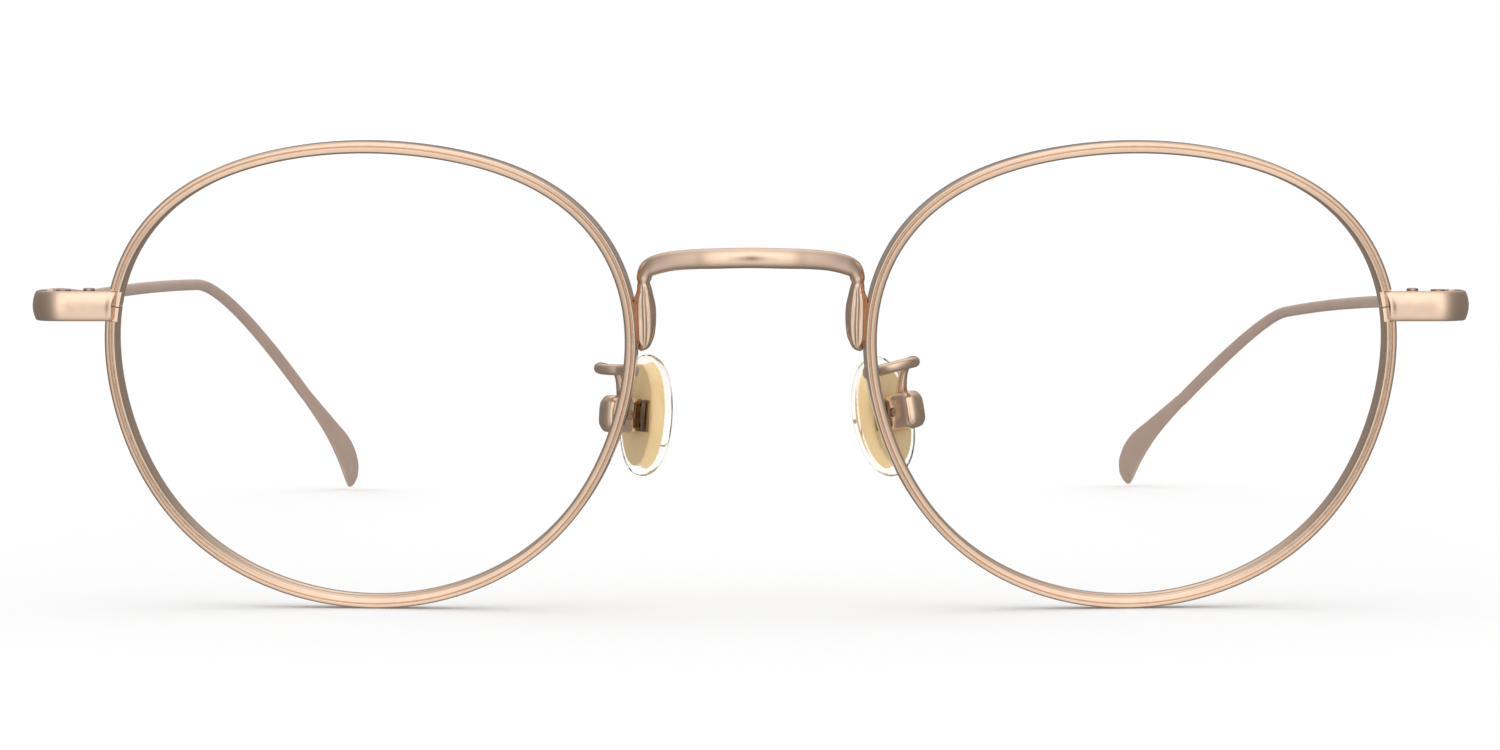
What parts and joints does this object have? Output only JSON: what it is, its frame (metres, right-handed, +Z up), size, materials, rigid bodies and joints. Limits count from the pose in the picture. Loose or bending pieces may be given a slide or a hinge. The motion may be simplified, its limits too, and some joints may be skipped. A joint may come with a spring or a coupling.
{
  "type": "eyeglasses frame",
  "caption": "Round full-rim metal eyeglasses frame with bar bridge, adjustable clear nose pads and folding wire temples with paddle tips.",
  "frame": {"origin": "bottom centre of the box round the open frame, on the surface that the rims and temple tips stand on", "axes": "+Y back along the temples, +Z up, +X towards the wearer's left; the front faces -Y"},
  "size_m": [0.134, 0.1502, 0.0437],
  "materials": {
    "frame_metal": "satin rose-gold plated titanium",
    "temple_metal": "fine matt rose-gold plated titanium",
    "block_metal": "satin rose-gold plated titanium",
    "screw_steel": "plated steel screw",
    "insert_gold": "polished gold plate",
    "pad_clear": "clear soft polymer"
  },
  "bodies": {
    "front": {"bridge": "frame_metal", "left_rim": "frame_metal", "left_endpiece": "frame_metal", "left_upper_closing_block": "block_metal", "left_lower_closing_block": "block_metal", "left_rim_lock_screw": "screw_steel", "left_front_hinge_leaf": "block_metal", "left_hinge_screw": "screw_steel", "left_pad_arm": "frame_metal", "left_pad_box": "frame_metal", "left_pad_screw": "screw_steel", "right_rim": "frame_metal", "right_endpiece": "frame_metal", "right_upper_closing_block": "block_metal", "right_lower_closing_block": "block_metal", "right_rim_lock_screw": "screw_steel", "right_front_hinge_leaf": "block_metal", "right_hinge_screw": "screw_steel", "right_pad_arm": "frame_metal", "right_pad_box": "frame_metal", "right_pad_screw": "screw_steel"},
    "left_temple": {"left_temple": "temple_metal", "left_temple_hinge_leaf": "block_metal"},
    "left_pad": {"left_pad_insert": "insert_gold", "left_pad_body": "pad_clear"},
    "right_temple": {"right_temple": "temple_metal", "right_temple_hinge_leaf": "block_metal"},
    "right_pad": {"right_pad_insert": "insert_gold", "right_pad_body": "pad_clear"}
  },
  "joints": [
    {"name": "left_temple_fold", "type": "hinge", "parent": "front", "child": "left_temple", "pos_m": [0.06465, -0.06393, 0.02841], "axis": [0, 0, 1], "range_deg": [0, 84]},
    {"name": "right_temple_fold", "type": "hinge", "parent": "front", "child": "right_temple", "pos_m": [-0.06465, -0.06393, 0.02841], "axis": [0, 0, -1], "range_deg": [0, 80]},
    {"name": "left_pad_rock", "type": "hinge", "parent": "front", "child": "left_pad", "pos_m": [0.0142, -0.06418, 0.01816], "axis": [0.7071, 0.7071, 0], "range_deg": [-10, 10]},
    {"name": "right_pad_rock", "type": "hinge", "parent": "front", "child": "right_pad", "pos_m": [-0.012, -0.06418, 0.01791], "axis": [0.5446, -0.8387, 0], "range_deg": [-10, 10]}
  ]
}
